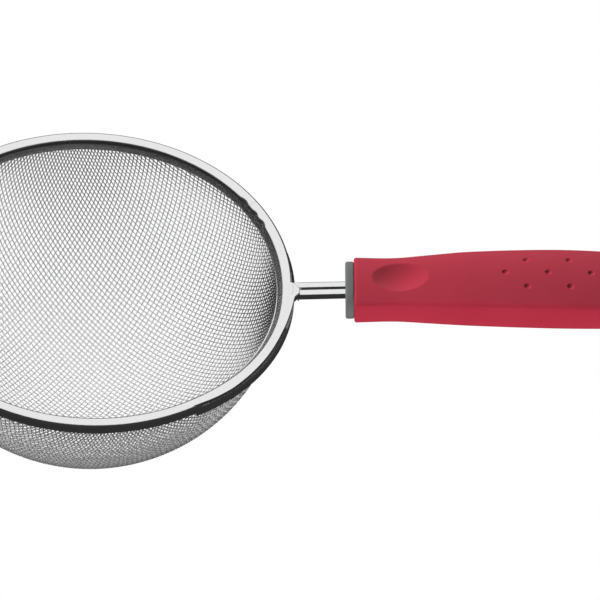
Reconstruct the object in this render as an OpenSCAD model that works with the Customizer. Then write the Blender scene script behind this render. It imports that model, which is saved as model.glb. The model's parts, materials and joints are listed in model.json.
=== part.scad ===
// Hand sieve for flour: a round bowl of woven steel wire, gripped by a folded
// steel rim, on a two-legged wire stem that ends inside a moulded handle.
// Origin: the centre of the rim, in the plane of its top face.
// +X runs towards the handle, +Z out of the bowl's mouth.

/* [Bowl] */
// Outside diameter of the rim
rim_d = 140; // [125:1:160]
// Depth from the rim's top face to the outside of the bowl's lowest point
bowl_depth = 67; // [55:1:72]
// Thickness of the woven cloth where its wires cross
mesh_t = 0.7; // [0.5:0.1:0.9]

/* [Rim] */
// Width of the folded strip, seen from above
rim_w = 5; // [4.8:0.1:5.3]
// Height of the strip's outer wall
outer_wall_h = 4.1; // [3.9:0.1:5]
// Height of the strip's inner wall
inner_wall_h = 4; // [3.5:0.1:4.4]
// Thickness of the sheet steel
strip_t = 0.5; // [0.4:0.1:0.6]
// How far the inner wall leans in towards its lower edge, in degrees
inner_lean = 20; // [14:1:24]
// Rounding of the fold at the inner wall
fold_in_r = 2.7; // [2.4:0.1:2.8]
// Rounding of the fold at the outer wall
fold_out_r = 1.1; // [0.8:0.1:1.2]
// Where the strip's ends meet, as an angle from the handle towards +Y
seam_angle = 34; // [20:1:60]

/* [Stem] */
// Diameter of the stem wire
stem_wire_d = 3.4; // [3:0.1:3.7]
// Free length of the stem, from the rim to the collar
stem_l = 18.3; // [17:0.1:30]
// Upward tilt of the stem, in degrees
stem_tilt = 6; // [4:0.5:7]
// Length of the wire's tang inside the handle
tang_l = 60; // [40:1:64]

/* [Handle] */
// Length of the red grip
grip_l = 126; // [122:1:130]
// Upward tilt of the handle, in degrees
handle_tilt = 4.75; // [4:0.25:5]
// Thickness of the grey collar
collar_t = 3; // [2.5:0.1:3.5]
// Diameter of the hanging hole
hang_d = 8; // [6:0.5:9]
// Distance of the hanging hole from the handle's end
hang_inset = 13; // [12:0.5:15]

/* [Rest ear] */
// Diameter of the ear's wire
ear_wire_d = 3; // [2.5:0.1:3]
// How far the ear stands out from the rim
ear_l = 14; // [12:0.5:20]
// Width of the ear, between its wires' centres
ear_w = 21; // [16:0.5:26]

/* [Hidden] */
$fn = 96;

// Rim and bowl, built from the outside in: outer wall, hoop, cloth, inner wall
rim_r = rim_d / 2;
rim_in_r = rim_r - rim_w;
cloth_gap = 0.6;
mesh_in_r = rim_in_r + strip_t + cloth_gap;
mesh_out_r = mesh_in_r + mesh_t;
hoop_r = (rim_r - strip_t - mesh_out_r) / 2;
hoop_at = mesh_out_r + hoop_r;
hoop_z = -strip_t - mesh_t - hoop_r;
flange_share = 0.5;
bowl_top_z = -3;
bowl_steps = 40;
seam_gap = 0.15;
rim_sides = 180;

// Stem: the legs stand a hair apart, and their pressed feet wrap the rim
leg_gap = 0.1;
leg_y = (stem_wire_d + leg_gap) / 2;
foot_proud = 1.25;
foot_circle_r = 65;
foot_turn = -22;
foot_top_z = -0.5;
foot_chamfer = 1.2;
foot_bottom_z = -5.3;
pad_z = [-4.8, -1.6];
pad = [[-1, 2.2], [1.2, 2.2], [2.3, -0.4], [2.4, -4.1], [0.2, -2.6], [-1, -2.6]];
bend_r = 1.95;
bend_x = rim_r - 0.3 + bend_r;

// Handle frame: its origin is the centre of the grip's front face
handle_x = rim_r + stem_l + collar_t;
handle_z = -2.2;
stem_z = handle_z + 0.15;
front_round = 0.8;
end_round = 13;
end_round_z = 6;
section_n = 3.2;
crease_p = 26;
upper_share = 1.25;
ring_points = 48;

// Grip sections: distance from the front, half width, half thickness,
// crown height, half width of the crown's ellipse, and drop of the centre line
GRIP = [
    [0, 11.8, 7.5, 6.6, 16.5, 0],
    [14, 11.45, 7.6, 6.8, 15.4, 0],
    [26, 12.35, 7.9, 7.6, 16.4, 0],
    [40, 13.45, 8.3, 8.5, 17.6, 0],
    [67, 14.2, 9.5, 8.4, 18.4, 0.1],
    [85, 14.1, 9.2, 8.3, 18.3, 0.9],
    [105, 13.2, 8.4, 7.6, 17.1, 2.1],
    [grip_l, 12.3, 7.2, 6.5, 15.9, 3.9]
];

// Core: the hard bar inside the grip
core_l = 98;
core_w = 17;
core_h = 9;
core_round = 2.5;

// Collar: half width and half thickness
collar_hw = 10.5;
collar_hh = 6.5;
collar_round = 0.7;
no_crown = 99;

// Thumb rest: a lens cut with this length, width and depth
thumb_u = 16;
thumb_l = 20;
thumb_w = 13.5;
thumb_d = 1.7;
lens_steps = 10;

// Seven grip dots in rows of two, three and two
dots_u = 67;
dot_pitch = 14.8;
dot_row_y = 6.2;
dot_r = 1.5;
dot_depth = 0.55;

// Hanging hole, upright, with a flat seat sunk into each face
hang_x = handle_x + grip_l - hang_inset;
hang_seat_r = 6.5;
hang_top_z = 10;
hang_bottom_z = -2;

// Rest ear, opposite the handle
ear_z = -outer_wall_h + ear_wire_d / 2;
ear_bend_r = 7;
ear_foot_proud = 1;
ear_foot_r = 60;

// How far a cutting body runs past what it cuts
clear = 20;

// Quarter of an ellipse, from [r, top] down to [0, bottom]
function bowl_arc(r, top, bottom) = [
    for (i = [0 : bowl_steps])
        let (a = 90 * i / bowl_steps)
        [r * cos(a), top + (bottom - top) * sin(a)]
];

// Quarter circle of points from angle a to angle b
function corner(cx, cz, r, a, b) = [
    for (i = [0 : 6])
        let (t = a + (b - a) * i / 6)
        [cx + r * cos(t), cz + r * sin(t)]
];

// The strip's two folds, at radius r from the centres that they turn about; the
// inner one turns on to the angle last, and ends where the leaning wall begins
function inner_fold(r, last) = corner(rim_in_r + fold_in_r, -fold_in_r, r, 90, last);
function outer_fold(r) = corner(rim_r - fold_out_r, -fold_out_r, r, 0, 90);

// Lower end of the leaning inner wall that leaves the inner fold at radius r
function wall_end(r) =
    let (z = -fold_in_r + r * sin(inner_lean))
    [rim_in_r + fold_in_r - r * cos(inner_lean) - (z + inner_wall_h) * tan(inner_lean),
        -inner_wall_h];

function reversed(v) = [for (i = [len(v) - 1 : -1 : 0]) v[i]];

// Smooth interpolation of one column of GRIP at distance u
function grip_slope(k, c) =
    let (a = max(k - 1, 0), b = min(k + 1, len(GRIP) - 1))
    (GRIP[b][c] - GRIP[a][c]) / (GRIP[b][0] - GRIP[a][0]);
function grip_span(u, k = 0) =
    (k >= len(GRIP) - 2 || u <= GRIP[k + 1][0]) ? k : grip_span(u, k + 1);
function grip_at(u, c) =
    let (k = grip_span(u))
    let (d = GRIP[k + 1][0] - GRIP[k][0])
    let (t = (u - GRIP[k][0]) / d)
    GRIP[k][c] * (1 + 2 * t) * pow(1 - t, 2)
    + GRIP[k + 1][c] * t * t * (3 - 2 * t)
    + grip_slope(k, c) * d * t * pow(1 - t, 2)
    - grip_slope(k + 1, c) * d * t * t * (1 - t);

// Height of the crowned top face above the handle's axis
function crown_z(u, y) =
    grip_at(u, 3) * sqrt(1 - pow(y / grip_at(u, 4), 2)) - grip_at(u, 5);

// Rounding at the grip's far end, over the length e
function end_scale(u, e) =
    u <= grip_l - e ? 1 : pow(max(0, 1 - pow((u - grip_l + e) / e, 2.4)), 1 / 2.4);

// Radius of a rounded box section with a crowned top, in direction t: hw is its
// half width, and up and down are its heights above and below its centre line
function section_r(t, hw, up, down, crown, crown_w) =
    let (side = pow(pow(abs(cos(t)) / hw, section_n)
        + pow(abs(sin(t)) / (sin(t) > 0 ? up : down), section_n), 1 / section_n))
    let (top = sqrt(pow(cos(t) / crown_w, 2) + pow(max(0, sin(t)) / crown, 2)))
    pow(pow(side, crease_p) + pow(top, crease_p), -1 / crease_p);

function grip_ring(u, inset) =
    let (sw = end_scale(u, end_round), sh = end_scale(u, end_round_z))
    let (hw = grip_at(u, 1) * sw - inset, hh = grip_at(u, 2) * sh - inset)
    let (crown = grip_at(u, 3) * sh - inset, crown_w = grip_at(u, 4) - inset)
    [
        for (i = [0 : ring_points - 1])
            let (t = 360 * i / ring_points)
            let (r = section_r(t, hw, hh * upper_share, hh, crown, crown_w))
            [u, r * cos(t), r * sin(t) - grip_at(u, 5)]
    ];

// Rings along the grip: a rounded front edge, even steps, then a round end
grip_rings = [
    grip_ring(0, front_round),
    grip_ring(front_round * 0.3, front_round * 0.3),
    for (u = [front_round : 4 : grip_l - end_round - 2]) grip_ring(u, 0),
    for (a = [0 : 9 : 81]) grip_ring(grip_l - end_round * (1 - sin(a)), 0),
    grip_ring(grip_l - 0.03, 0)
];

// The collar has no crown: its crown's ellipse is wide and high of it
function collar_ring(u, inset) = [
    for (i = [0 : ring_points - 1])
        let (t = 360 * i / ring_points)
        let (half = collar_hh - inset)
        let (r = section_r(t, collar_hw - inset, half, half, no_crown, no_crown))
        [u, r * cos(t), r * sin(t)]
];

collar_rings = [
    for (a = [90 : -30 : 0])
        collar_ring(collar_round * (1 - sin(a)) - collar_t, collar_round * (1 - cos(a))),
    for (a = [0 : 30 : 90])
        collar_ring(-collar_round * (1 - sin(a)), collar_round * (1 - cos(a)))
];

// Closed skin through a list of rings of equal length, ordered along +X
module loft(rings) {
    n = len(rings[0]);
    m = len(rings);
    polyhedron(
        points = [for (ring = rings) for (p = ring) p],
        faces = concat(
            [for (j = [0 : m - 2]) for (i = [0 : n - 1])
                [j * n + i, j * n + (i + 1) % n, (j + 1) * n + i]],
            [for (j = [0 : m - 2]) for (i = [0 : n - 1])
                [j * n + (i + 1) % n, (j + 1) * n + (i + 1) % n, (j + 1) * n + i]],
            [[for (i = [n - 1 : -1 : 0]) i]],
            [[for (i = [0 : n - 1]) (m - 1) * n + i]]
        )
    );
}

// Places children in the handle's frame
module in_handle() {
    translate([handle_x, 0, handle_z]) rotate([0, -handle_tilt, 0]) children();
}

// Places children in the stem's frame, whose origin is at the grip's front
module in_stem() {
    translate([handle_x, 0, stem_z]) rotate([0, -stem_tilt, 0]) children();
}

// A straight wire of diameter d from [x0, y] to [x1, y]
module wire_x(d, x0, x1, y) {
    translate([x0, y, 0]) rotate([0, 90, 0]) cylinder(d = d, h = x1 - x0);
}

// An arc of wire about +Z, from angle a over the angle turn
module wire_arc(d, r, a, turn) {
    rotate([0, 0, a]) rotate_extrude(angle = turn) translate([r, 0]) circle(d = d);
}

// The two straight legs and the closed bend of the hairpin, in the stem's frame
module hairpin() {
    for (y = [-leg_y, leg_y]) wire_x(stem_wire_d, bend_x - handle_x, tang_l, y);
    translate([tang_l, 0, 0]) wire_arc(stem_wire_d, leg_y, -90, 180);
}

// A crescent pressed flat against the rim, thickest at +X and tapering away
module pressed_foot(bottom_z, circle_r, proud) {
    middle_z = foot_top_z - foot_chamfer;
    translate([rim_r + proud - circle_r, 0, 0]) {
        translate([0, 0, bottom_z]) cylinder(r = circle_r, h = middle_z - bottom_z);
        translate([0, 0, middle_z])
            cylinder(r1 = circle_r, r2 = circle_r - foot_chamfer, h = foot_chamfer);
    }
}

// The space inside the rim's outer wall, cut from whatever is welded to it
module rim_space() {
    translate([0, 0, -clear]) cylinder(r = rim_r, h = 2 * clear, $fn = rim_sides);
}

module core_shape() {
    rotate([90, 0, 90]) linear_extrude(core_l) polygon(concat(
        corner(core_w / 2 - core_round, core_h / 2 - core_round, core_round, 0, 90),
        corner(core_round - core_w / 2, core_h / 2 - core_round, core_round, 90, 180),
        corner(core_round - core_w / 2, core_round - core_h / 2, core_round, 180, 270),
        corner(core_w / 2 - core_round, core_round - core_h / 2, core_round, 270, 360)
    ));
}

// Woven cloth: its edge stands between the rim's walls and turns over the hoop
module mesh_bowl() {
    flange_r = hoop_at + hoop_r * flange_share;
    cloth_turn = 180 - acos(1 - cloth_gap / (fold_in_r - strip_t));
    color("silver") rotate_extrude() polygon(concat(
        [[0, -bowl_depth + mesh_t]],
        reversed(bowl_arc(mesh_in_r, bowl_top_z, -bowl_depth + mesh_t)),
        reversed(inner_fold(fold_in_r - strip_t, cloth_turn)),
        [[flange_r, -strip_t], [flange_r, -strip_t - mesh_t],
            [mesh_out_r, -strip_t - mesh_t]],
        bowl_arc(mesh_out_r, bowl_top_z, -bowl_depth)
    ));
}

// Sheet strip folded down over the cloth's edge, with its ends butted
module rim_band() {
    gap = seam_gap / rim_r * 180 / PI;
    color("gainsboro") rotate([0, 0, seam_angle + gap / 2])
        rotate_extrude(angle = 360 - gap, $fn = rim_sides) polygon(concat(
            [wall_end(fold_in_r)],
            reversed(inner_fold(fold_in_r, 180 - inner_lean)),
            reversed(outer_fold(fold_out_r)),
            [[rim_r, -outer_wall_h], [rim_r - strip_t, -outer_wall_h]],
            outer_fold(fold_out_r - strip_t),
            inner_fold(fold_in_r - strip_t, 180 - inner_lean),
            [wall_end(fold_in_r - strip_t)]
        ));
}

// Wire ring that holds the cloth's edge inside the folded rim
module rim_hoop() {
    color("darkgray") translate([0, 0, hoop_z])
        rotate_extrude($fn = rim_sides) translate([hoop_at, 0]) circle(r = hoop_r, $fn = 32);
}

// Hairpin of wire: closed end in the handle, open ends bent and pressed flat
module stem_wire() {
    color("lightgray") difference() {
        union() {
            in_stem() {
                hairpin();
                translate([bend_x - handle_x, leg_y + bend_r, 0])
                    wire_arc(stem_wire_d, bend_r, 180, 90);
                translate([bend_x - handle_x, -leg_y - bend_r, 0])
                    wire_arc(stem_wire_d, bend_r, 90, 90);
            }
            rotate([0, 0, foot_turn])
                pressed_foot(foot_bottom_z, foot_circle_r, foot_proud);
            translate([rim_r, 0, pad_z[0]])
                linear_extrude(pad_z[1] - pad_z[0]) polygon(pad);
        }
        rim_space();
    }
}

// Moulded ring that closes the grip's front
module collar() {
    color("dimgray") difference() {
        in_handle() loft(collar_rings);
        in_stem() hairpin();
    }
}

// Hard bar moulded over the wire's tang
module handle_core() {
    color("gray") difference() {
        in_handle() core_shape();
        in_stem() hairpin();
    }
}

// Lens with its long axis along X, for the thumb rest
module thumb_lens() {
    across_r = (pow(thumb_w / 2, 2) + pow(thumb_d, 2)) / (2 * thumb_d);
    along_r = (pow(thumb_l / 2, 2) + pow(thumb_d, 2)) / (2 * thumb_d);
    translate([thumb_u, 0, crown_z(thumb_u, 0) - thumb_d + across_r])
        rotate([0, 90, 0]) rotate_extrude() polygon(concat(
            [[0, -thumb_l]],
            [for (i = [-lens_steps : lens_steps])
                let (x = thumb_l * i / lens_steps)
                [across_r - along_r + sqrt(along_r * along_r - x * x), x]],
            [[0, thumb_l]]
        ));
}

// Moulded grip, with its thumb rest, grip dots and hanging hole
module handle_grip() {
    color("crimson") difference() {
        in_handle() loft(grip_rings);
        in_handle() core_shape();
        in_handle() thumb_lens();
        in_handle() for (row = [-1 : 1], i = [-1 : 1])
            if (row == 0 || i < 1) {
                u = dots_u + dot_pitch * (row == 0 ? i : i + 0.5);
                y = row * dot_row_y;
                translate([u, y, crown_z(u, y) + dot_r - dot_depth])
                    sphere(r = dot_r, $fn = 32);
            }
        translate([hang_x, 0, hang_bottom_z - clear])
            cylinder(d = hang_d, h = hang_top_z - hang_bottom_z + 2 * clear);
        for (z = [hang_top_z, hang_bottom_z - clear])
            translate([hang_x, 0, z]) cylinder(r = hang_seat_r, h = clear);
    }
}

// Wire ear that rests on the edge of a pot or basin
module rest_ear() {
    bend_at = -rim_r - ear_l + ear_wire_d / 2 + ear_bend_r;
    leg = ear_w / 2;
    color("lightgray") difference() {
        union() {
            translate([0, 0, ear_z]) {
                for (y = [-leg, leg]) wire_x(ear_wire_d, bend_at, 1 - rim_r, y);
                translate([bend_at, leg - ear_bend_r, 0])
                    wire_arc(ear_wire_d, ear_bend_r, 90, 90);
                translate([bend_at, ear_bend_r - leg, 0])
                    wire_arc(ear_wire_d, ear_bend_r, 180, 90);
                translate([bend_at - ear_bend_r, ear_bend_r - leg, 0]) rotate([-90, 0, 0])
                    cylinder(d = ear_wire_d, h = ear_w - 2 * ear_bend_r);
            }
            rotate([0, 0, 180])
                pressed_foot(-outer_wall_h, ear_foot_r, ear_foot_proud);
        }
        rim_space();
    }
}

mesh_bowl();
rim_band();
rim_hoop();
stem_wire();
collar();
handle_core();
handle_grip();
rest_ear();
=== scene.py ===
"""Looks for a fine-mesh hand sieve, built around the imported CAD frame.

Lengths are in metres. +X runs to the handle, +Z out of the bowl's mouth, and the
origin is the centre of the rim's top face, as in the CAD model.
"""

import json
import math

import bpy
import numpy as np
from mathutils import Matrix, Vector


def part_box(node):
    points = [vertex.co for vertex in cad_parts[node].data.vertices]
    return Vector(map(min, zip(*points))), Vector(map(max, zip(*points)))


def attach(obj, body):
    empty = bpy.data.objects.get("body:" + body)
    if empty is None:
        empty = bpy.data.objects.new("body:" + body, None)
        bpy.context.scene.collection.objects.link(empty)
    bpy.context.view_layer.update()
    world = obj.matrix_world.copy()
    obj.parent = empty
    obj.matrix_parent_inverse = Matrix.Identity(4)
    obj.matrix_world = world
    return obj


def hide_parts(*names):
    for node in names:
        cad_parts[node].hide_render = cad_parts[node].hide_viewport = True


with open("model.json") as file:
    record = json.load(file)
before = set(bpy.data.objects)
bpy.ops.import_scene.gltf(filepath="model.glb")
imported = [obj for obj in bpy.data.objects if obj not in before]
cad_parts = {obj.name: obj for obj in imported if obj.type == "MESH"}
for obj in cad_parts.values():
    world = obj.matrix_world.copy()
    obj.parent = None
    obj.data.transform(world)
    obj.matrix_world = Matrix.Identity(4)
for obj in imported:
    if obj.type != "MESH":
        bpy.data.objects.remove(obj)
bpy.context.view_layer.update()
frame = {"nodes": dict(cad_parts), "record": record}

MM = 0.001
nodes = frame["nodes"]
rim_low, rim_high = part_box("rim_band")
bowl_low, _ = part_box("mesh_bowl")
hang = next(m for m in frame["record"]["mounts"] if m["name"] == "hanging_hole")

# ---------------------------------------------------------------- dimensions
RIM_R = rim_high.x
RIM_W = 5 * MM
OUTER_WALL = -rim_low.z
CLOTH_IN_R = 66.1 * MM
# The grip's front, which is the origin of the handle's own axes, is found from the hole
GRIP_L = 126 * MM
HANG_INSET = 13 * MM
HANDLE_X = hang["pos_m"][0] - (GRIP_L - HANG_INSET)
HANDLE_Z = -2.2 * MM
HANDLE_TILT = math.radians(4.75)


# ------------------------------------------------------------------- helpers
def add_mesh(name, verts, faces, material, replaces=None):
    """A new piece from vertices and faces."""
    mesh = bpy.data.meshes.new(name)
    mesh.from_pydata([tuple(v) for v in verts], [], [tuple(f) for f in faces])
    mesh.update()
    return add_piece(name, mesh, material, replaces)


def add_piece(name, mesh, material, replaces=None):
    """A new smooth-shaded piece from a mesh, riding on the part's one body."""
    mesh.materials.append(material)
    mesh.shade_smooth()
    piece = bpy.data.objects.new(name, mesh)
    bpy.context.scene.collection.objects.link(piece)
    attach(piece, "root")
    if replaces:
        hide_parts(replaces)
    return piece


def grid_faces(rows, cols):
    """Quads between rows of cols vertices, each row closed into a ring."""
    r, c = np.meshgrid(np.arange(rows - 1), np.arange(cols), indexing="ij")
    r2, c2 = r + 1, (c + 1) % cols
    return np.stack([r * cols + c, r * cols + c2, r2 * cols + c2, r2 * cols + c], -1).reshape(-1, 4)


def end_rings(rows, cols):
    """The indices of the first and the last ring of such a grid."""
    return tuple(range(cols)), tuple(range((rows - 1) * cols, rows * cols))


def smoothstep(x):
    x = np.clip(x, 0, 1)
    return x * x * (3 - 2 * x)


def bell(x, centre, half_width):
    """A mark that is 1 at its centre and fades smoothly on both sides."""
    return np.exp(-(((x - centre) / half_width) ** 2))


def arc(cx, cz, r, start, stop, count):
    """Points on an arc, between two angles in degrees."""
    t = np.radians(np.linspace(start, stop, count))
    return [(cx + r * math.cos(a), cz + r * math.sin(a)) for a in t]


# ----------------------------------------------------------------- materials
def new_material(name):
    material = bpy.data.materials.new(name)
    material.use_nodes = True
    tree = material.node_tree
    return material, tree, tree.nodes["Principled BSDF"]


def node(tree, kind, **settings):
    made = tree.nodes.new(kind)
    for key, value in settings.items():
        setattr(made, key, value)
    return made


def math_node(tree, operation, *values):
    """A Math node's output, from sockets or plain numbers."""
    made = node(tree, "ShaderNodeMath", operation=operation)
    for socket, value in zip(made.inputs, values):
        if hasattr(value, "links"):
            tree.links.new(value, socket)
        else:
            socket.default_value = value
    return made.outputs[0]


def object_place(tree):
    """Object coordinates, which are the part's own, in metres."""
    return node(tree, "ShaderNodeTexCoord").outputs["Object"]


def object_xyz(tree):
    split = node(tree, "ShaderNodeSeparateXYZ")
    tree.links.new(object_place(tree), split.inputs[0])
    return split.outputs


def squared_radius(tree, x, y):
    """The squared distance from the Z axis."""
    return math_node(tree, "ADD", math_node(tree, "MULTIPLY", x, x),
                     math_node(tree, "MULTIPLY", y, y))


def map_range(tree, value, limits, interpolation="LINEAR"):
    """A Map Range node's output. limits: From Min, From Max, then To Min and To Max."""
    made = node(tree, "ShaderNodeMapRange", interpolation_type=interpolation)
    for name, limit in zip(("From Min", "From Max", "To Min", "To Max"), limits):
        made.inputs[name].default_value = limit
    tree.links.new(value, made.inputs["Value"])
    return made.outputs[0]


def ring_coordinates(tree, radial, around):
    """Coordinates that run round the Z axis, so that streaks follow a rim."""
    x, y, z = object_xyz(tree)
    radius = math_node(tree, "SQRT", squared_radius(tree, x, y))
    angle = math_node(tree, "ARCTAN2", y, x)
    join = node(tree, "ShaderNodeCombineXYZ")
    for i, (value, scale) in enumerate(((radius, radial), (angle, around), (z, radial))):
        tree.links.new(math_node(tree, "MULTIPLY", value, scale), join.inputs[i])
    return join.outputs[0]


def straight_coordinates(tree, along, across):
    """Object coordinates stretched so that streaks run along X."""
    scale = node(tree, "ShaderNodeMapping")
    scale.inputs["Scale"].default_value = (along, across, across)
    tree.links.new(object_place(tree), scale.inputs["Vector"])
    return scale.outputs[0]


def noise_range(tree, vector, scale, detail, low, high):
    """A noise pattern, as it is and mapped to run from low to high."""
    noise = node(tree, "ShaderNodeTexNoise")
    noise.inputs["Scale"].default_value = scale
    noise.inputs["Detail"].default_value = detail
    tree.links.new(vector, noise.inputs["Vector"])
    fac = noise.outputs["Fac"]
    return fac, map_range(tree, fac, (*NOISE_RANGE, low, high))


def bump(tree, shader, height, strength, distance):
    made = node(tree, "ShaderNodeBump")
    made.inputs["Strength"].default_value = strength
    made.inputs["Distance"].default_value = distance
    tree.links.new(height, made.inputs["Height"])
    tree.links.new(made.outputs[0], shader.inputs["Normal"])


def two_tone(tree, fac, low, high):
    mix = node(tree, "ShaderNodeMix", data_type="RGBA")
    mix.inputs["A"].default_value = (*low, 1)
    mix.inputs["B"].default_value = (*high, 1)
    tree.links.new(fac, mix.inputs["Factor"])
    return mix.outputs["Result"]


def darkened(tree, colour, tone, *fades):
    """Paints shade into a colour: multiplies it by tone where all fades are 0, and by 1 where one
    has reached 1.
    """
    unshaded = math_node(tree, "MAXIMUM", *fades)
    mix = node(tree, "ShaderNodeMix", data_type="RGBA", blend_type="MULTIPLY")
    mix.inputs["Factor"].default_value = 1
    tree.links.new(colour, mix.inputs["A"])
    tree.links.new(two_tone(tree, unshaded, (tone,) * 3, (1, 1, 1)), mix.inputs["B"])
    return mix.outputs["Result"]


def painted_shade_inner_wall(tree, colour):
    """Painted shade on the rim's inner wall: darkens the steel there, by an amount fitted to the
    photo.
    """
    x, y, z = object_xyz(tree)
    return darkened(tree, colour, DARK_WALL_TONE, map_range(tree, z, DARK_WALL_Z),
                    map_range(tree, squared_radius(tree, x, y), [r**2 for r in DARK_WALL_R]))


def painted_shade_groove(tree, colour):
    """Painted shade in the groove between the stem's two legs: darkens it, also fitted to the
    photo.
    """
    x, y, _ = object_xyz(tree)
    return darkened(tree, colour, GROOVE_TONE, map_range(tree, x, GROOVE_X),
                    map_range(tree, math_node(tree, "ABSOLUTE", y), GROOVE_Y))


def streaked_steel(name, grey, roughness, coordinates, darken=None):
    """Steel with fine streaks in its tone, roughness and relief, and painted shade where darken is
    given.
    """
    material, tree, shader = new_material(name)
    shader.inputs["Metallic"].default_value = 1
    streak, fac = noise_range(tree, coordinates(tree), 1.0, 3, 0, 1)
    tones = [tuple(g * grey for g in (k, k, k * 1.006)) for k in (0.95, 1.04)]
    colour = two_tone(tree, fac, *tones)
    if darken:
        colour = darken(tree, colour)
    tree.links.new(colour, shader.inputs["Base Color"])
    _, rough = noise_range(tree, coordinates(tree), 0.6, 2, roughness * 0.8, roughness * 1.25)
    tree.links.new(rough, shader.inputs["Roughness"])
    bump(tree, shader, streak, 0.06, 0.00003)
    return material


def painted_shade_patches(tree, x, y, z):
    """Painted shade on the mesh: two patches darker than its wires' own tone, fitted to the photo.
    """
    angle = math_node(tree, "ARCTAN2", y, x)
    patches = []
    for centre, spread, heights, strength in DARK_PATCHES:
        turned = math_node(tree, "SUBTRACT", angle, math.radians(centre))
        around = map_range(tree, math_node(tree, "COSINE", turned), spread, "SMOOTHSTEP")
        up = map_range(tree, z, heights, "SMOOTHSTEP")
        patches.append(math_node(
            tree, "MULTIPLY", math_node(tree, "MULTIPLY", around, up), strength))
    return math_node(tree, "MAXIMUM", *patches)


def wire_steel(name, grey, roughness, metallic=1, dark_tone=1):
    """Bright drawn wire, with painted shade that can darken it under the rim and in the two
    patches.
    """
    material, tree, shader = new_material(name)
    shader.inputs["Metallic"].default_value = metallic
    x, y, z = object_xyz(tree)
    # Painted shade: darker under the rim and in the two patches
    painted_shade_under_rim = map_range(tree, z, DARK_TOP_Z, "SMOOTHSTEP")
    dark = math_node(tree, "MAXIMUM", painted_shade_under_rim, painted_shade_patches(tree, x, y, z))
    tones = [(g, g, g * 1.005) for g in (grey, grey * dark_tone)]
    tree.links.new(two_tone(tree, dark, *tones), shader.inputs["Base Color"])
    shader.inputs["Roughness"].default_value = roughness
    return material


def plastic(name, low, high, roughness, specular, grain, relief):
    """Moulded plastic with a fine spark-eroded grain."""
    material, tree, shader = new_material(name)
    place = object_place(tree)
    _, fac = noise_range(tree, place, 60, 3, 0, 1)
    tree.links.new(two_tone(tree, fac, low, high), shader.inputs["Base Color"])
    fine, rough = noise_range(tree, place, grain, 2, roughness * 0.93, roughness * 1.07)
    tree.links.new(rough, shader.inputs["Roughness"])
    shader.inputs["Specular IOR Level"].default_value = specular
    bump(tree, shader, fine, 0.1, relief)
    return material


# What most of a noise pattern lies between
NOISE_RANGE = (0.3, 0.7)
# Painted shade: the darker places, where the scene's light alone doesn't give the photo's tones.
# Their tones multiply the colour. Outside the wall's and the groove's limits the colour is left as
# it is
DARK_WALL_R = (65.1 * MM, 66 * MM)
DARK_WALL_Z = (-3.4 * MM, -3.52 * MM)
DARK_WALL_TONE = 0.42
GROOVE_X = (73.2 * MM, 72.6 * MM)
GROOVE_Y = (0.42 * MM, 0.6 * MM)
GROOVE_TONE = 0.2
# Painted shade: the mesh darkens from the first of these heights up to the second, under the rim
DARK_TOP_Z = (-16 * MM, -4 * MM)
# Painted shade on the mesh. Each patch's angle from the handle in degrees, its spread as
# cosines, its heights and its strength
DARK_PATCHES = ((7.5, (0.952, 1.0), (-43 * MM, -25 * MM), 1.0),
                (97.5, (0.9, 1.0), (-34 * MM, -10 * MM), 0.45))

RIM_STEEL = streaked_steel(
    "rim_steel", 0.8, 0.16, lambda t: ring_coordinates(t, 9000, 40), painted_shade_inner_wall)
STEM_STEEL = streaked_steel(
    "stem_steel", 0.8, 0.12, lambda t: straight_coordinates(t, 150, 5000), painted_shade_groove)
EAR_STEEL = streaked_steel("ear_steel", 0.8, 0.12, lambda t: straight_coordinates(t, 900, 900))
# The mesh's wires carry painted shade under the rim and in the two patches
MESH_STEEL = wire_steel("mesh_steel", 0.94, 0.35, 0.9, 0.35)
HOOP_STEEL = wire_steel("hoop_steel", 0.6, 0.3)
GRIP_RED = plastic(
    "grip_red", (0.41, 0.024, 0.048), (0.43, 0.027, 0.053), 0.5, 0.2, 5200, 0.00002)
COLLAR_GREY = plastic(
    "collar_grey", (0.13, 0.134, 0.132), (0.142, 0.146, 0.144), 0.5, 0.3, 4200, 0.00002)
CORE_GREY = plastic("core_grey", (0.06, 0.06, 0.06), (0.07, 0.07, 0.07), 0.6, 0.3, 3000, 0.00002)


# ---------------------------------------------------------------- woven bowl
# The cloth's middle surface is the lower half of an ellipsoid, and its wires are cut
# off at CLOTH_END, inside the rim
MESH_T = 0.7 * MM
BOWL_TOP = -3 * MM
CLOTH_R = CLOTH_IN_R + MESH_T / 2
CLOTH_DEPTH = BOWL_TOP - (bowl_low.z + MESH_T / 2)
CLOTH_END = -3.6 * MM
WIRE_D = 0.38 * MM
WIRE_SIDES = 6
# Spacing of the wires, and the direction that each set is counted in
PITCH = (1.53 * MM, 1.74 * MM)
COUNT_DIR = (math.radians(55), math.radians(-40))
# The net's crossings along each half of a straight wire, how far the two straight wires
# run round the bowl's section, and how far above its widest level the net may go
NET_COUNT = 66
MERIDIAN_REACH = 0.62 * math.pi
MERIDIAN_SAMPLES = 4000
NET_TOP = BOWL_TOP + 6 * MM
# Newton's method for a crossing: most steps, longest step in metres, the smallest
# determinant it goes on with, and the last move at which it stops or is good enough
NEWTON_STEPS = 8
NEWTON_MOVE = MM
NEWTON_FLAT = 1e-3
NEWTON_DONE, NEWTON_GOOD = 1e-8, 1e-6


def cloth_normal(p):
    """Outward direction of the ellipsoid at p, not scaled to length one."""
    return np.stack([p[..., 0] / CLOTH_R**2, p[..., 1] / CLOTH_R**2,
                     (p[..., 2] - BOWL_TOP) / CLOTH_DEPTH**2], -1)


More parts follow.
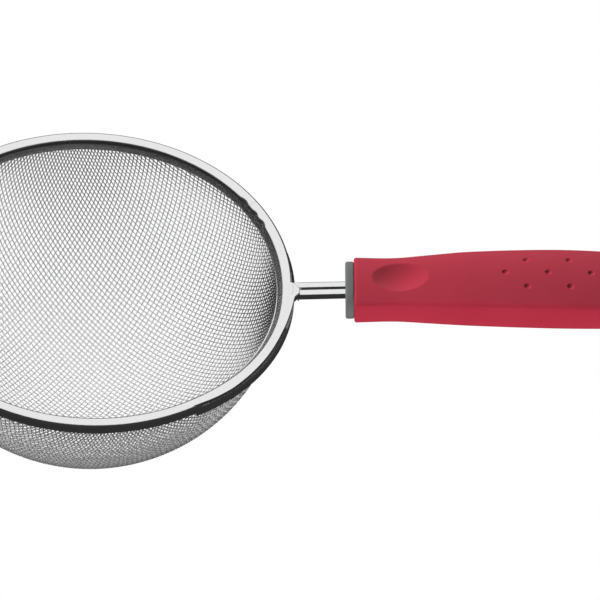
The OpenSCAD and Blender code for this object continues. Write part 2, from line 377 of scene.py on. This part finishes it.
def meridian(direction, pitch):
    """Points a pitch apart on the bowl's meridian, from its lowest point."""
    t = np.linspace(0, MERIDIAN_REACH, MERIDIAN_SAMPLES)
    r, z = CLOTH_R * np.sin(t), BOWL_TOP - CLOTH_DEPTH * np.cos(t)
    s = np.concatenate([[0], np.cumsum(np.hypot(np.diff(r), np.diff(z)))])
    at = pitch * np.arange(NET_COUNT + 1)
    r, z = np.interp(at, s, r), np.interp(at, s, z)
    return np.stack([r * math.cos(direction), r * math.sin(direction), z], -1)


def crossing(a, b, corner):
    """The point on the bowl a pitch from a and from b, or None if there isn't one."""
    di, dj = PITCH
    q = a + b - corner
    step = 1.0
    for _ in range(NEWTON_STEPS):
        n = cloth_normal(q)
        level = n @ (q - (0, 0, BOWL_TOP)) - 1
        u, v = q - a, q - b
        miss = np.array([level, (u @ u) / di**2 - 1, (v @ v) / dj**2 - 1])
        slopes = np.array([2 * n, 2 * u / di**2, 2 * v / dj**2])
        if abs(np.linalg.det(slopes)) < NEWTON_FLAT:
            break
        move = np.linalg.solve(slopes, -miss)
        step = np.abs(move).max()
        q = q + move * min(1, NEWTON_MOVE / step)
        if step < NEWTON_DONE:
            break
    return q if step < NEWTON_GOOD and q[2] < NET_TOP else None


def net_quarter(sign_i, sign_j):
    """A quarter of the cloth as a pin-jointed net, drawn over the bowl.

    Each crossing lies a pitch from its two neighbours, so the cells shear into
    diamonds between the two straight sets of wires, as pressed cloth does.
    """
    size = NET_COUNT + 1
    net = np.full((size, size, 3), np.nan)
    net[:, 0] = meridian(COUNT_DIR[0] + (0 if sign_i > 0 else math.pi), PITCH[0])
    net[0, :] = meridian(COUNT_DIR[1] + (0 if sign_j > 0 else math.pi), PITCH[1])
    for i in range(1, size):
        for j in range(1, size):
            a, b = net[i - 1, j], net[i, j - 1]
            if np.isnan(a[0]) or np.isnan(b[0]):
                continue
            found = crossing(a, b, net[i - 1, j - 1])
            if found is not None:
                net[i, j] = found
    return net


def whole_net():
    """All four quarters in one grid, whose middle crossing is the lowest."""
    size = 2 * NET_COUNT + 1
    outwards = np.arange(NET_COUNT + 1)
    net = np.full((size, size, 3), np.nan)
    for si in (1, -1):
        for sj in (1, -1):
            quarter = net_quarter(si, sj)
            net[np.ix_(NET_COUNT + si * outwards, NET_COUNT + sj * outwards)] = quarter
    return net


def wire_path(points, weave):
    """A wire's centre line through its crossings, over one and under the next."""
    inside = ~np.isnan(points[:, 0]) & (points[:, 2] < CLOTH_END)
    if inside.sum() < 2:
        return None
    first, last = np.flatnonzero(inside)[[0, -1]]
    kept = slice(max(first - 1, 0), last + 2)
    points, weave = points[kept], weave[kept]
    known = ~np.isnan(points[:, 0])
    points, weave = points[known], weave[known]
    n = cloth_normal(points)
    n /= np.linalg.norm(n, axis=1)[:, None]
    path = np.empty((2 * len(points) - 1, 3))
    path[0::2] = points + n * (weave * WIRE_D / 2)[:, None]
    path[1::2] = (points[1:] + points[:-1]) / 2
    for end in (0, -1):
        path = trim_end(path, end)
    return path if len(path) > 2 else None


def trim_end(path, end):
    """Cuts the path's end where it passes the height at which the cloth ends."""
    if end == -1:
        return trim_end(path[::-1], 0)[::-1]
    above = path[:, 2] > CLOTH_END
    if not above[0]:
        return path
    k = int(np.argmin(above))
    share = (CLOTH_END - path[k, 2]) / (path[k - 1, 2] - path[k, 2])
    cut = path[k] + share * (path[k - 1] - path[k])
    return np.vstack([cut, path[k:]])


def tube(path):
    """Vertices and quads of a wire along a path that lies on the bowl."""
    tangent = np.gradient(path, axis=0)
    tangent /= np.linalg.norm(tangent, axis=1)[:, None]
    up = cloth_normal(path)
    side = np.cross(tangent, up)
    side /= np.linalg.norm(side, axis=1)[:, None]
    up = np.cross(side, tangent)
    turn = (2 * math.pi * np.arange(WIRE_SIDES) / WIRE_SIDES)[None, :, None]
    ring = np.cos(turn) * side[:, None] + np.sin(turn) * up[:, None]
    verts = path[:, None] + WIRE_D / 2 * ring
    return verts.reshape(-1, 3), grid_faces(len(path), WIRE_SIDES)


def woven_piece(name, paths):
    """Many wires as one mesh, filled from arrays because from_pydata is slow here."""
    verts, faces, base = [], [], 0
    for path in paths:
        v, f = tube(path)
        verts.append(v)
        faces.append(f + base)
        base += len(v)
    verts, faces = np.concatenate(verts), np.concatenate(faces)
    mesh = bpy.data.meshes.new(name)
    mesh.vertices.add(len(verts))
    mesh.vertices.foreach_set("co", verts.astype(np.float32).ravel())
    mesh.loops.add(faces.size)
    mesh.loops.foreach_set("vertex_index", faces.astype(np.int32).ravel())
    mesh.polygons.add(len(faces))
    mesh.polygons.foreach_set("loop_start", np.arange(0, faces.size, 4, dtype=np.int32))
    mesh.update(calc_edges=True)
    return add_piece(name, mesh, MESH_STEEL, "mesh_bowl")


def woven_bowl():
    """The cloth's two sets of wires, each in two pieces, so that none is too large."""
    net = whole_net()
    size = len(net)
    parity = 1 - 2 * ((np.arange(size)[:, None] + np.arange(size)[None]) % 2)
    warp = [wire_path(net[i], parity[i]) for i in range(size)]
    weft = [wire_path(net[:, j], -parity[:, j]) for j in range(size)]
    for name, paths in (("warp", warp), ("weft", weft)):
        paths = [p for p in paths if p is not None]
        for half in (0, 1):
            woven_piece(f"mesh_{name}_{half + 1}", paths[half::2])


# ----------------------------------------------------------------------- rim
STRIP_T = 0.5 * MM
FOLD_OUT_R = 2.2 * MM
# Where the inner fold starts, its radii, and how steeply each part of it faces up at
# its end. The last one turns the strip's edge up a little
INNER_FOLD_X = RIM_R - RIM_W + 2.7 * MM
INNER_FOLD = ((2.4 * MM, 47), (3.8 * MM, 22.8), (12 * MM, 15), (-0.6 * MM, 42))
SEAM = math.radians(34)
SEAM_HALF_GAP = 0.0009
RIM_TURNS = 1440
# Crimp marks by the seam, and one broad fold outwards beside the handle, which follows
# the photo: degrees past the seam, half width, and depth outwards in mm
CRIMPS = ((2.6, 1.6, 0.62), (-3.4, 1.2, 0.45), (-7.8, 1.5, 0.6), (-60, 22, 1.3))
# They grow from the rim's middle to its inner side and fade downwards, by a power of
# what is left of the height, and each also sinks by a share of its depth
CRIMP_IN_R = CLOTH_IN_R - 0.6 * MM
CRIMP_WIDTH = RIM_W * 0.5
CRIMP_REACH = OUTER_WALL * 1.05
CRIMP_POWER = 0.8
CRIMP_SINK = 0.22
# The strip's lower edge curls inwards beside the handle, in the same three terms, below
# CURL_Z over CURL_FADE. The lower part of the wall moves outwards by WALL_SHARE of it
LIP_CURL = (-60, 29, 0.32)
CURL_Z, CURL_FADE = -3.45 * MM, 0.3 * MM
WALL_SHARE, WALL_FADE, WALL_START = 1.7, 2.6 * MM, 0.4
# The strip's end that laps over the other: how far in degrees, and its step
LAP_END = -4.6
LAP_STEP = 0.07 * MM


def inner_skin(offset, steps):
    """The inner fold and its leaning wall, from the top face down."""
    x, z, facing = INNER_FOLD_X, -offset, 90
    points = [(x, z)]
    for radius, end in INNER_FOLD:
        for k in range(1, steps + 1):
            new = facing + (end - facing) * k / steps
            old = facing + (end - facing) * (k - 1) / steps
            turn = [math.radians(a) for a in (old, new)]
            x -= (radius - offset) * (math.cos(turn[1]) - math.cos(turn[0]))
            z -= (radius - offset) * (math.sin(turn[0]) - math.sin(turn[1]))
            points.append((x, z))
        facing = end
    return points


def rim_profile():
    """The folded strip's section: out over the top, then back along the inside."""
    outer, lip = RIM_R, STRIP_T / 2
    out_x, out_z = outer - FOLD_OUT_R, -FOLD_OUT_R
    skin, lining = inner_skin(0, 8), inner_skin(STRIP_T, 3)
    edge_x, edge_z = (skin[-1][i] / 2 + lining[-1][i] / 2 for i in (0, 1))
    points = skin[::-1]
    points += [(points[-1][0] + (out_x - points[-1][0]) * k, 0) for k in (0.33, 0.67)]
    points += arc(out_x, out_z, FOLD_OUT_R, 90, 0, 11)
    points += [(outer, -OUTER_WALL * 0.5), (outer, -OUTER_WALL * 0.75)]
    points += arc(outer - lip, -OUTER_WALL + lip, lip, 0, -180, 5)
    points += arc(out_x, out_z, FOLD_OUT_R - STRIP_T, 0, 90, 5)
    points += lining
    points += arc(edge_x, edge_z, lip, -50, -215, 7)
    return np.array(points)


def rim_band():
    """The strip's section swept round from seam to seam, with its marks."""
    section = rim_profile()
    flat_r, flat_z = section[:, 0], section[:, 1]
    angle = SEAM + np.linspace(SEAM_HALF_GAP, 2 * math.pi - SEAM_HALF_GAP, RIM_TURNS)
    r, z = np.tile(flat_r, (RIM_TURNS, 1)), np.tile(flat_z, (RIM_TURNS, 1))
    past_seam = (np.degrees(angle - SEAM) + 180) % 360 - 180
    inward = np.clip(1 - (flat_r - CRIMP_IN_R) / CRIMP_WIDTH, 0, 1)
    depth = np.clip(1 + flat_z / CRIMP_REACH, 0, 1)
    for centre, half, amount in CRIMPS:
        mark = (bell(past_seam, centre, half) * amount * MM)[:, None]
        r += mark * (inward * depth**CRIMP_POWER)[None]
        z -= CRIMP_SINK * mark * (inward * depth)[None]
    centre, half, amount = LIP_CURL
    curl = (bell(past_seam, centre, half) * amount * MM)[:, None]
    r -= curl * np.clip((CURL_Z - flat_z) / CURL_FADE, 0, 1)[None]
    r += WALL_SHARE * curl * (inward * np.clip(-flat_z / WALL_FADE - WALL_START, 0, 1))[None]
    lap = (past_seam < 0) & (past_seam > LAP_END)
    z[lap] += LAP_STEP * depth[None] ** 3
    x, y = r * np.cos(angle)[:, None], r * np.sin(angle)[:, None]
    verts = np.stack([x, y, z], -1).reshape(-1, 3)
    first, last = end_rings(RIM_TURNS, len(section))
    faces = [*grid_faces(RIM_TURNS, len(section)), first, last[::-1]]
    piece = add_mesh("rim_strip", verts, faces, RIM_STEEL, "rim_band")
    piece.data.set_sharp_from_angle(angle=math.radians(60))


# ------------------------------------------------------------------- handle
# Distance from the front, half width, half thickness, crown height,
# half width of the crown's ellipse, and drop of the centre line, in mm
GRIP_SECTIONS = np.array([
    [0, 11.8, 7.5, 6.6, 16.5, 0],
    [14, 11.45, 7.6, 6.8, 15.4, 0],
    [26, 12.35, 7.9, 7.6, 16.4, 0],
    [40, 13.45, 8.3, 8.5, 17.6, 0],
    [67, 14.2, 9.5, 8.4, 18.4, 0.1],
    [85, 14.1, 9.2, 8.3, 18.3, 0.9],
    [105, 13.2, 8.4, 7.6, 17.1, 2.1],
    [126, 12.3, 7.2, 6.5, 15.9, 3.9],
]) * MM
# The section: how square it is, how sharp the crease between its sides and its crown,
# and how much taller its box is above the middle than below
SECTION_N = 3.2
CREASE_P = 26
UPPER_SHARE = 1.25
# Rounding of the front edge, and of the far end seen from above and from the side, whose
# curve has the power END_N and which no half size goes below SMALLEST at
FRONT_ROUND = 0.8 * MM
END_ROUND = 13 * MM
END_ROUND_Z = 6 * MM
END_N = 2.4
SMALLEST = 0.02 * MM
# The thumb rest's place, length, width, depth and how softly its edge starts
THUMB_U, THUMB_L, THUMB_W, THUMB_D = 16 * MM, 20 * MM, 13.5 * MM, 2.5 * MM
THUMB_EDGE = 0.1
# Seven dots in rows of two, three and two
DOTS_U, DOT_PITCH, DOT_ROW_Y = 67 * MM, 14.8 * MM, 6.2 * MM
DOT_R, DOT_DEPTH, DOT_EDGE = 1.2 * MM, 0.75 * MM * 1.1, 0.12
DOT_ROWS = ((-1, (-0.5, 0.5)), (0, (-1, 0, 1)), (1, (-0.5, 0.5)))
# Stretches of the grip's length and of its turn, each with its own spacing: mm from the
# front, and degrees round the section with a number of points
GRIP_STEPS = ((1.4, 5, 0.6), (5, 28, 0.4), (28, 50, 1.2), (50, 85, 0.22), (85, 113, 1.2))
GRIP_TURN = ((12, 168, 150), (168, 372, 90))
# The hanging hole's sunk seats and rounded edges, and its cutter's half length and sides
SEAT_R, HOLE_EDGE = 6.5 * MM, 0.6 * MM
CUTTER_HALF, HOLE_SIDES = 30 * MM, 96
COLLAR_T, COLLAR_HALF_W, COLLAR_HALF_H, COLLAR_EDGE = 3 * MM, 10.5 * MM, 6.5 * MM, 0.8 * MM
# A crown of one metre, which leaves a section as it is
NO_CROWN = 1
IN_HANDLE = (Matrix.Translation((HANDLE_X, 0, HANDLE_Z))
             @ Matrix.Rotation(-HANDLE_TILT, 4, "Y"))


def grip_at(u, column):
    """Smooth interpolation of one column of the grip's sections."""
    s, v = GRIP_SECTIONS[:, 0], GRIP_SECTIONS[:, column]
    last = len(s) - 1
    place = np.arange(last + 1)
    low, high = np.maximum(place - 1, 0), np.minimum(place + 1, last)
    slope = (v[high] - v[low]) / (s[high] - s[low])
    k = np.clip(np.searchsorted(s, u, side="left") - 1, 0, last - 1)
    d = s[k + 1] - s[k]
    t = (u - s[k]) / d
    return (v[k] * (1 + 2 * t) * (1 - t) ** 2 + v[k + 1] * t * t * (3 - 2 * t)
            + slope[k] * d * t * (1 - t) ** 2 - slope[k + 1] * d * t * t * (1 - t))


def end_scale(u, length):
    """What is left of the grip's size at u, as its far end rounds off over a length."""
    past = np.clip((u - GRIP_L + length) / length, 0, 1)
    return (1 - past**END_N) ** (1 / END_N)


def section_r(t, half_w, up, down, crown, crown_w):
    """Radius of a rounded box section with a crowned top, in direction t."""
    c, s = np.abs(np.cos(t)), np.abs(np.sin(t)) / np.where(np.sin(t) > 0, up, down)
    side = ((c / half_w) ** SECTION_N + s**SECTION_N) ** (1 / SECTION_N)
    top = np.sqrt((c / crown_w) ** 2 + (np.maximum(0, np.sin(t)) / crown) ** 2)
    return (side**CREASE_P + top**CREASE_P) ** (-1 / CREASE_P)


def handle_piece(name, rings, material, node_name):
    """A closed skin through rings, which run along the handle's own X axis."""
    rows, cols = rings.shape[:2]
    verts = np.concatenate([rings.reshape(-1, 3), rings[[0, -1]].mean(1)])
    faces = [tuple(f) for f in grid_faces(rows, cols)]
    front, back = rows * cols, rows * cols + 1
    for i in range(cols):
        j = (i + 1) % cols
        faces.append((front, j, i))
        faces.append((back, (rows - 1) * cols + i, (rows - 1) * cols + j))
    placed = [IN_HANDLE @ Vector(v) for v in verts]
    return add_mesh(name, placed, faces, material, node_name)


def sunk(share, depth, edge):
    """Depth of a hollow whose share runs from 0 at its edge to 1 in its middle."""
    share = np.clip(share, 0, None)
    return depth * share * share / (share + edge)


def grip():
    """The moulded grip, with its thumb rest, dots and hanging hole."""
    u = np.concatenate([
        FRONT_ROUND * (1 - np.cos(np.radians(np.arange(0, 91, 15)))),
        *[np.arange(*step) * MM for step in GRIP_STEPS],
        GRIP_L - END_ROUND * (1 - np.sin(np.radians(np.arange(0, 90, 3.0)))),
        [GRIP_L - 0.01 * MM],
    ])
    rise = np.sqrt(np.maximum(0, FRONT_ROUND**2 - (FRONT_ROUND - u) ** 2))
    inset = np.where(u < FRONT_ROUND, FRONT_ROUND - rise, 0)
    t = np.radians(np.concatenate([np.linspace(*turn, endpoint=False) for turn in GRIP_TURN]))
    sw, sh = end_scale(u, END_ROUND), end_scale(u, END_ROUND_Z)
    half_w = np.maximum(grip_at(u, 1) * sw - inset, SMALLEST)[:, None]
    half_h = np.maximum(grip_at(u, 2) * sh - inset, SMALLEST)[:, None]
    crown = np.maximum(grip_at(u, 3) * sh - inset, SMALLEST)[:, None]
    crown_w = (grip_at(u, 4) - inset)[:, None]
    r = section_r(t[None], half_w, half_h * UPPER_SHARE, half_h, crown, crown_w)
    x = np.repeat(u[:, None], len(t), 1)
    y, z = r * np.cos(t), r * np.sin(t)
    upper = z > 0
    rest = 1 - ((x - THUMB_U) / (THUMB_L / 2)) ** 2 - (y / (THUMB_W / 2)) ** 2
    z = z - upper * sunk(rest, THUMB_D, THUMB_EDGE)
    for row, steps in DOT_ROWS:
        for step in steps:
            centre = DOTS_U + DOT_PITCH * step
            near = 1 - ((x - centre) ** 2 + (y - row * DOT_ROW_Y) ** 2) / DOT_R**2
            z = z - upper * sunk(near, DOT_DEPTH, DOT_EDGE)
    z = z - grip_at(u, 5)[:, None]
    piece = handle_piece("grip", np.stack([x, y, z], -1), GRIP_RED, "handle_grip")
    cut_hanging_hole(piece)
    piece.visible_glossy = False


def cut_hanging_hole(piece):
    """The hole and its sunk seats, with their edges rounded."""
    bore_r, half = hang["dims"]["r_mm"] * MM, hang["dims"]["length_mm"] * MM / 2
    outline = [(SEAT_R, CUTTER_HALF), (SEAT_R, half)]
    outline += arc(bore_r + HOLE_EDGE, half - HOLE_EDGE, HOLE_EDGE, 90, 180, 7)
    outline += [(r, -z) for r, z in reversed(outline)]
    turn = 2 * math.pi * np.arange(HOLE_SIDES) / HOLE_SIDES
    rings = np.array([[(r * math.cos(a), r * math.sin(a), z) for a in turn] for r, z in outline])
    verts = rings.reshape(-1, 3) + np.array(hang["pos_m"])
    first, last = end_rings(len(outline), HOLE_SIDES)
    faces = [tuple(f)[::-1] for f in grid_faces(len(outline), HOLE_SIDES)]
    faces += [first, last[::-1]]
    mesh = bpy.data.meshes.new("hole_cutter")
    mesh.from_pydata([tuple(v) for v in verts], [], faces)
    cutter = bpy.data.objects.new("hole_cutter", mesh)
    bpy.context.scene.collection.objects.link(cutter)
    cut = piece.modifiers.new("hole", "BOOLEAN")
    cut.operation, cut.solver, cut.object = "DIFFERENCE", "EXACT", cutter
    graph = bpy.context.evaluated_depsgraph_get()
    result = bpy.data.meshes.new_from_object(piece.evaluated_get(graph))
    piece.modifiers.clear()
    piece.data = result
    bpy.data.objects.remove(cutter)
    result.shade_smooth()
    result.set_sharp_from_angle(angle=math.radians(40))


def collar():
    """The ring in front of the grip, rounder at its front edge than at its back."""
    edge = COLLAR_EDGE
    turn = np.radians(np.linspace(0, 90, 9))
    u = np.concatenate([-COLLAR_T + edge * (1 - np.cos(turn)), -edge * (1 - np.sin(turn))])
    inset = np.concatenate([edge * (1 - np.sin(turn)), edge * (1 - np.cos(turn)) * 0.5])
    t = np.radians(np.linspace(0, 360, 180, endpoint=False))
    high = (COLLAR_HALF_H - inset)[:, None]
    r = section_r(t[None], (COLLAR_HALF_W - inset)[:, None], high, high, NO_CROWN, NO_CROWN)
    x = np.repeat(u[:, None], len(t), 1)
    rings = np.stack([x, r * np.cos(t), r * np.sin(t)], -1)
    piece = handle_piece("front_ring", rings, COLLAR_GREY, "collar")
    piece.data.set_sharp_from_angle(angle=math.radians(50))


# --------------------------------------------------------------- stem's weld
# The inner side of the flattened wire and its weld, and how far out it reaches in mm,
# by the angle from the handle in degrees
WELD_IN_R = 68.7 * MM
WELD_OUT = (
    (-63, 68.95), (-58, 69.25), (-54, 69.75), (-50, 70.2), (-45, 70.6), (-30, 70.6),
    (-20, 70.4), (-12, 70.6), (-8, 70.8), (-4.9, 71), (-4.3, 71.5), (-3.7, 72.5),
    (-1.7, 72.6), (-0.9, 72), (0, 70.9), (1, 69.2))
WELD_RINGS = 280
WELD_BLUR = 7
# Its section: the share of the way out, and the height in mm. The point at LINE_SHARE
# is pressed in where the piece reaches past LINE_FROM
LINE_SHARE = 0.36
WELD_SECTION = (
    (0, -1.4), (0, -0.15), (0.25, -0.06), (0.31, -0.06), (LINE_SHARE, -0.06), (0.41, -0.06),
    (0.6, -0.1), (0.85, -0.22), (0.95, -0.42), (1, -0.8), (1, -1.9))
LINE_DEPTH, LINE_FROM, LINE_FADE = 0.28 * MM, 71.2, 0.8
# Both ends sink into the rim: the long taper from this angle, over this many degrees,
# and the end at the handle over one degree
TAPER_FROM, TAPER_OVER, TAPER_SINK = -54, 9, 0.6 * MM
END_SINK = 0.5 * MM


def stem_weld():
    """The pressed wire end that laps over the rim's edge, with its weld."""
    angles = np.linspace(WELD_OUT[0][0], WELD_OUT[-1][0], WELD_RINGS)
    outer = np.interp(angles, *zip(*WELD_OUT)) * MM
    padded = np.pad(outer, WELD_BLUR // 2, mode="edge")
    outer = np.convolve(padded, np.ones(WELD_BLUR) / WELD_BLUR, mode="valid")
    sink = (TAPER_SINK * smoothstep((TAPER_FROM - angles) / TAPER_OVER)
            + END_SINK * smoothstep(angles))
    line = LINE_DEPTH * smoothstep((outer / MM - LINE_FROM) / LINE_FADE)
    verts = []
    for angle, out_r, drop, pressed in zip(np.radians(angles), outer, sink, line):
        for share, z in WELD_SECTION:
            r = WELD_IN_R + share * (out_r - WELD_IN_R)
            height = z * MM - drop - pressed * (share == LINE_SHARE)
            verts.append((r * math.cos(angle), r * math.sin(angle), height))
    first, last = end_rings(WELD_RINGS, len(WELD_SECTION))
    faces = [*grid_faces(WELD_RINGS, len(WELD_SECTION)), first[::-1], last]
    piece = add_mesh("stem_weld", verts, faces, STEM_STEEL)
    piece.data.set_sharp_from_angle(angle=math.radians(60))


# ------------------------------------------------------------ carried nodes
def dress_node(name, material):
    """A better material on a CAD node that is shown as it is."""
    for place in nodes[name].material_slots:
        place.material = material
    nodes[name].data.shade_smooth()
    nodes[name].data.set_sharp_from_angle(angle=math.radians(35))


# -------------------------------------------------------------------- stage
# The floor's half size, how bright the camera sees it, and the light that it gives back
# to the object
FLOOR_SIZE = 6
FLOOR_SEEN = 1.0
FLOOR_LIGHT = 0.35
# The sky's light part: its middle, and its soft edge with the strength on both sides
SKY_TOWARDS = (0, 0.4, 0.917)
SKY_RANGE = (0.36, 0.44, 0.035, 1.0)
# The lamps: direction, size and power, all at one distance from one point
LAMPS = (("key", (-0.71, 0.42, 0.56), 0.8, 36), ("fill", (0, 0.1, 1), 2.2, 1.8),
         ("front", (-0.1, -0.97, -0.2), 1.0, 29))
LAMPS_AIM = (0.1, 0, 0)
LAMPS_AWAY = 1.6


def floor():
    """A plain floor under the bowl that glows evenly, casts no shadow and isn't mirrored."""
    size, z = FLOOR_SIZE, bowl_low.z
    mesh = bpy.data.meshes.new("floor")
    mesh.from_pydata([(-size, -size, z), (size, -size, z), (size, size, z), (-size, size, z)],
                     [], [(0, 1, 2, 3)])
    ground = bpy.data.objects.new("floor", mesh)
    bpy.context.scene.collection.objects.link(ground)
    material, tree, shader = new_material("floor_white")
    shader.inputs["Base Color"].default_value = (0, 0, 0, 1)
    shader.inputs["Roughness"].default_value = 1
    shader.inputs["Specular IOR Level"].default_value = 0
    shader.inputs["Emission Color"].default_value = (1, 1, 1, 1)
    by_camera = node(tree, "ShaderNodeLightPath").outputs["Is Camera Ray"]
    glow = map_range(tree, by_camera, (0, 1, FLOOR_LIGHT, FLOOR_SEEN))
    tree.links.new(glow, shader.inputs["Emission Strength"])
    mesh.materials.append(material)
    ground.visible_glossy = False
    ground.visible_shadow = False


def sky():
    """A tilted cap of light that only reflections see, white to the camera."""
    world = bpy.data.worlds.new("studio")
    bpy.context.scene.world = world
    world.cycles_visibility.diffuse = False
    world.use_nodes = True
    tree = world.node_tree
    back = tree.nodes["Background"]
    towards = node(tree, "ShaderNodeVectorMath", operation="DOT_PRODUCT")
    place = node(tree, "ShaderNodeTexCoord")
    tree.links.new(place.outputs["Generated"], towards.inputs[0])
    towards.inputs[1].default_value = Vector(SKY_TOWARDS).normalized()
    cap = map_range(tree, towards.outputs["Value"], SKY_RANGE, "SMOOTHSTEP")
    by_camera = node(tree, "ShaderNodeLightPath").outputs["Is Camera Ray"]
    tree.links.new(math_node(tree, "MAXIMUM", cap, by_camera), back.inputs["Strength"])
    back.inputs["Color"].default_value = (1, 1, 1, 1)


def lamps():
    """Three soft lamps, which neither the camera nor reflections see."""
    for name, towards, size, energy in LAMPS:
        light = bpy.data.lights.new(name, "AREA")
        light.shape, light.size, light.energy = "DISK", size, energy
        lamp = bpy.data.objects.new(name, light)
        bpy.context.scene.collection.objects.link(lamp)
        direction = Vector(towards).normalized()
        lamp.location = Vector(LAMPS_AIM) + direction * LAMPS_AWAY
        lamp.rotation_euler = direction.to_track_quat("Z", "Y").to_euler()
        lamp.visible_glossy = False
        lamp.visible_camera = False


# The camera's azimuth, elevation and roll in degrees, what it looks at and how far it is,
# its lens and sensor in mm, and its clip distances
CAMERA_ANGLES = (-4.28, 46.71, 5.88)
CAMERA_TARGET, CAMERA_DISTANCE = (0.0724, -0.008, 0), 1.377
LENS, SENSOR = 240, 36
CLIP = (0.05, 20)


def camera():
    """A long lens, a little to the left, tipped so that the handle rises."""
    azimuth, elevation, roll = (math.radians(a) for a in CAMERA_ANGLES)
    back = Vector((math.sin(azimuth) * math.cos(elevation),
                   -math.cos(azimuth) * math.cos(elevation), math.sin(elevation)))
    level = Vector((math.cos(azimuth), math.sin(azimuth), 0))
    right = level * math.cos(roll) + back.cross(level) * math.sin(roll)
    up = back.cross(right)
    data = bpy.data.cameras.new("camera")
    data.lens, data.sensor_width = LENS, SENSOR
    data.clip_start, data.clip_end = CLIP
    eye = bpy.data.objects.new("camera", data)
    bpy.context.scene.collection.objects.link(eye)
    turn = Matrix((right, up, back)).transposed().to_4x4()
    place = Vector(CAMERA_TARGET) + back * CAMERA_DISTANCE
    eye.matrix_world = Matrix.Translation(place) @ turn
    bpy.context.scene.camera = eye
    bpy.context.scene.view_settings.view_transform = "Standard"


camera()
floor()
sky()
lamps()
woven_bowl()
rim_band()
stem_weld()
collar()
grip()
dress_node("rim_hoop", HOOP_STEEL)
dress_node("stem_wire", STEM_STEEL)
dress_node("rest_ear", EAR_STEEL)
dress_node("handle_core", CORE_GREY)
